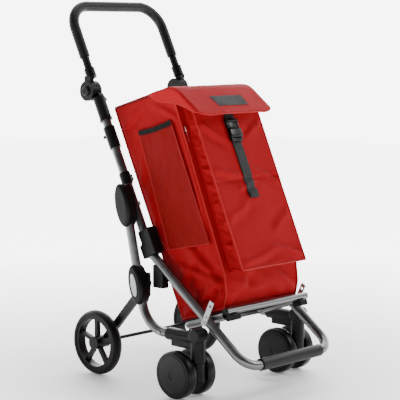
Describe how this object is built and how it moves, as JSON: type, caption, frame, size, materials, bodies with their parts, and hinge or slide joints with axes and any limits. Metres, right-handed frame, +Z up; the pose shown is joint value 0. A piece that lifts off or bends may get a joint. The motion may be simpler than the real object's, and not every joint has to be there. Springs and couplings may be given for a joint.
{
  "type": "shopping trolley",
  "caption": "Folding wheeled shopping trolley: tubular frame, tall fabric bag with flap and pockets, tilting loop handle, rear wheels and twin-wheel front castors.",
  "frame": {"origin": "on the floor, at the middle of the part's footprint box", "axes": "+Z up, +Y towards the user's handle (rear), -Y towards the bumper bar (front), +X to the part's right side seen from behind"},
  "size_m": [0.5082, 0.7074, 1.0336],
  "materials": {
    "silver_tube": "satin anodised tube",
    "black_tube": "satin black powder coat on steel",
    "black_leg": "satin black powder coat on flat steel bar",
    "black_steel": "black coated steel rod",
    "soft_grip": "matte black foam rubber",
    "black_plastic": "fine grained black moulded plastic",
    "push_button": "smoother black moulded plastic",
    "grey_plate": "light grey plastic",
    "pin_steel": "plain zinc plated steel",
    "deck_board": "black plastic board",
    "bag_fabric": "red coated polyester weave",
    "flap_fabric": "red coated polyester weave, edge bound",
    "mesh_net": "red mesh with a black elastic hem",
    "webbing": "black woven polypropylene webbing",
    "buckle_plastic": "black acetal",
    "zip_metal": "bright plated zinc",
    "tyre_rubber": "smooth dark grey solid tyre",
    "rim_plastic": "black moulded nylon",
    "castor_plastic": "black moulded wheel with a soft tread"
  },
  "bodies": {
    "base": {"front_loop": "silver_tube", "bumper_grip": "soft_grip", "side_tube_left": "silver_tube", "side_tube_right": "silver_tube", "fold_cover_left": "black_plastic", "fold_cover_right": "black_plastic", "knee_cover_left": "black_plastic", "knee_cover_right": "black_plastic", "knee_plates": "grey_plate", "knee_lugs": "black_plastic", "fold_pins": "pin_steel", "knee_pins": "pin_steel", "saddle_block_left": "black_plastic", "saddle_block_right": "black_plastic", "frame_catches": "black_plastic", "hook_plates": "grey_plate", "frame_rivets": "pin_steel", "castor_housing_left": "black_plastic", "castor_housing_right": "black_plastic", "platform_loop": "silver_tube", "platform_bar": "silver_tube", "platform_deck": "deck_board", "platform_corners": "black_plastic", "bag_body": "bag_fabric", "front_pocket": "bag_fabric", "side_pocket": "mesh_net", "buckle_lower": "buckle_plastic", "strap_tail": "webbing"},
    "uprights": {"upright_left": "silver_tube", "upright_right": "silver_tube", "rotary_sleeve_left": "black_plastic", "rotary_sleeve_right": "black_plastic", "strap_collars": "black_plastic"},
    "handle": {"handle_knuckle_left": "black_plastic", "handle_knuckle_right": "black_plastic", "handle_tube": "black_tube", "handle_grip": "soft_grip"},
    "tilt_button_left": {"tilt_button_left": "push_button"},
    "tilt_button_right": {"tilt_button_right": "push_button"},
    "fold_release_left": {"fold_release_left": "black_plastic"},
    "fold_release_right": {"fold_release_right": "black_plastic"},
    "rear_legs": {"rear_leg_left": "black_leg", "rear_leg_right": "black_leg", "rear_axle": "black_steel"},
    "rear_wheel_left": {"rear_tyre_left": "tyre_rubber", "rear_rim_left": "rim_plastic"},
    "rear_wheel_right": {"rear_tyre_right": "tyre_rubber", "rear_rim_right": "rim_plastic"},
    "castor_left": {"castor_fork_left": "black_plastic"},
    "castor_right": {"castor_fork_right": "black_plastic"},
    "castor_wheel_left_outer": {"castor_wheel_left_outer": "castor_plastic"},
    "castor_wheel_left_inner": {"castor_wheel_left_inner": "castor_plastic"},
    "castor_wheel_right_outer": {"castor_wheel_right_outer": "castor_plastic"},
    "castor_wheel_right_inner": {"castor_wheel_right_inner": "castor_plastic"},
    "flap": {"flap": "flap_fabric", "strap_upper": "webbing", "buckle_upper": "buckle_plastic"},
    "zip": {"zip_slider": "zip_metal", "zip_pull": "zip_metal"}
  },
  "joints": [
    {"name": "upright_fold", "type": "hinge", "parent": "base", "child": "uprights", "pos_m": [0, 0.073, 0.485], "axis": [1, 0, 0], "range_deg": [0, 135]},
    {"name": "handle_tilt", "type": "hinge", "parent": "uprights", "child": "handle", "pos_m": [0, 0.24618, 0.78528], "axis": [-1, 0, 0], "range_deg": [-30, 35]},
    {"name": "tilt_button_left_push", "type": "slide", "parent": "handle", "child": "tilt_button_left", "axis": [1, 0, 0], "range_m": [0, 0.003], "stiffness_N_per_m": 900, "springref_m": -0.0015},
    {"name": "tilt_button_right_push", "type": "slide", "parent": "handle", "child": "tilt_button_right", "axis": [-1, 0, 0], "range_m": [0, 0.003], "stiffness_N_per_m": 900, "springref_m": -0.0015},
    {"name": "fold_release_left_lift", "type": "slide", "parent": "uprights", "child": "fold_release_left", "axis": [0, 0.4462, 0.8949], "range_m": [0, 0.012], "stiffness_N_per_m": 350, "springref_m": -0.006},
    {"name": "fold_release_right_lift", "type": "slide", "parent": "uprights", "child": "fold_release_right", "axis": [0, 0.4462, 0.8949], "range_m": [0, 0.012], "stiffness_N_per_m": 350, "springref_m": -0.006},
    {"name": "rear_leg_fold", "type": "hinge", "parent": "base", "child": "rear_legs", "pos_m": [0, 0.02297, 0.275], "axis": [-1, 0, 0], "range_deg": [0, 40]},
    {"name": "rear_wheel_left_spin", "type": "hinge", "parent": "rear_legs", "child": "rear_wheel_left", "pos_m": [-0.198, 0.196, 0.09], "axis": [1, 0, 0], "continuous": true},
    {"name": "rear_wheel_right_spin", "type": "hinge", "parent": "rear_legs", "child": "rear_wheel_right", "pos_m": [0.198, 0.196, 0.09], "axis": [1, 0, 0], "continuous": true},
    {"name": "castor_left_swivel", "type": "hinge", "parent": "base", "child": "castor_left", "pos_m": [-0.2, -0.195, 0.095], "axis": [0, 0, 1], "continuous": true},
    {"name": "castor_wheel_left_outer_spin", "type": "hinge", "parent": "castor_left", "child": "castor_wheel_left_outer", "pos_m": [-0.237, -0.151, 0.063], "axis": [1, 0, 0], "continuous": true},
    {"name": "castor_wheel_left_inner_spin", "type": "hinge", "parent": "castor_left", "child": "castor_wheel_left_inner", "pos_m": [-0.163, -0.151, 0.063], "axis": [1, 0, 0], "continuous": true},
    {"name": "castor_right_swivel", "type": "hinge", "parent": "base", "child": "castor_right", "pos_m": [0.2, -0.195, 0.095], "axis": [0, 0, 1], "continuous": true},
    {"name": "castor_wheel_right_outer_spin", "type": "hinge", "parent": "castor_right", "child": "castor_wheel_right_outer", "pos_m": [0.237, -0.151, 0.063], "axis": [1, 0, 0], "continuous": true},
    {"name": "castor_wheel_right_inner_spin", "type": "hinge", "parent": "castor_right", "child": "castor_wheel_right_inner", "pos_m": [0.163, -0.151, 0.063], "axis": [1, 0, 0], "continuous": true},
    {"name": "flap_lift", "type": "hinge", "parent": "base", "child": "flap", "pos_m": [0, 0.184, 0.74], "axis": [-1, 0, 0], "range_deg": [0, 60]},
    {"name": "zip_pull_slide", "type": "slide", "parent": "base", "child": "zip", "axis": [0, -0.3839, -0.9234], "range_m": [0, 0.33]}
  ]
}
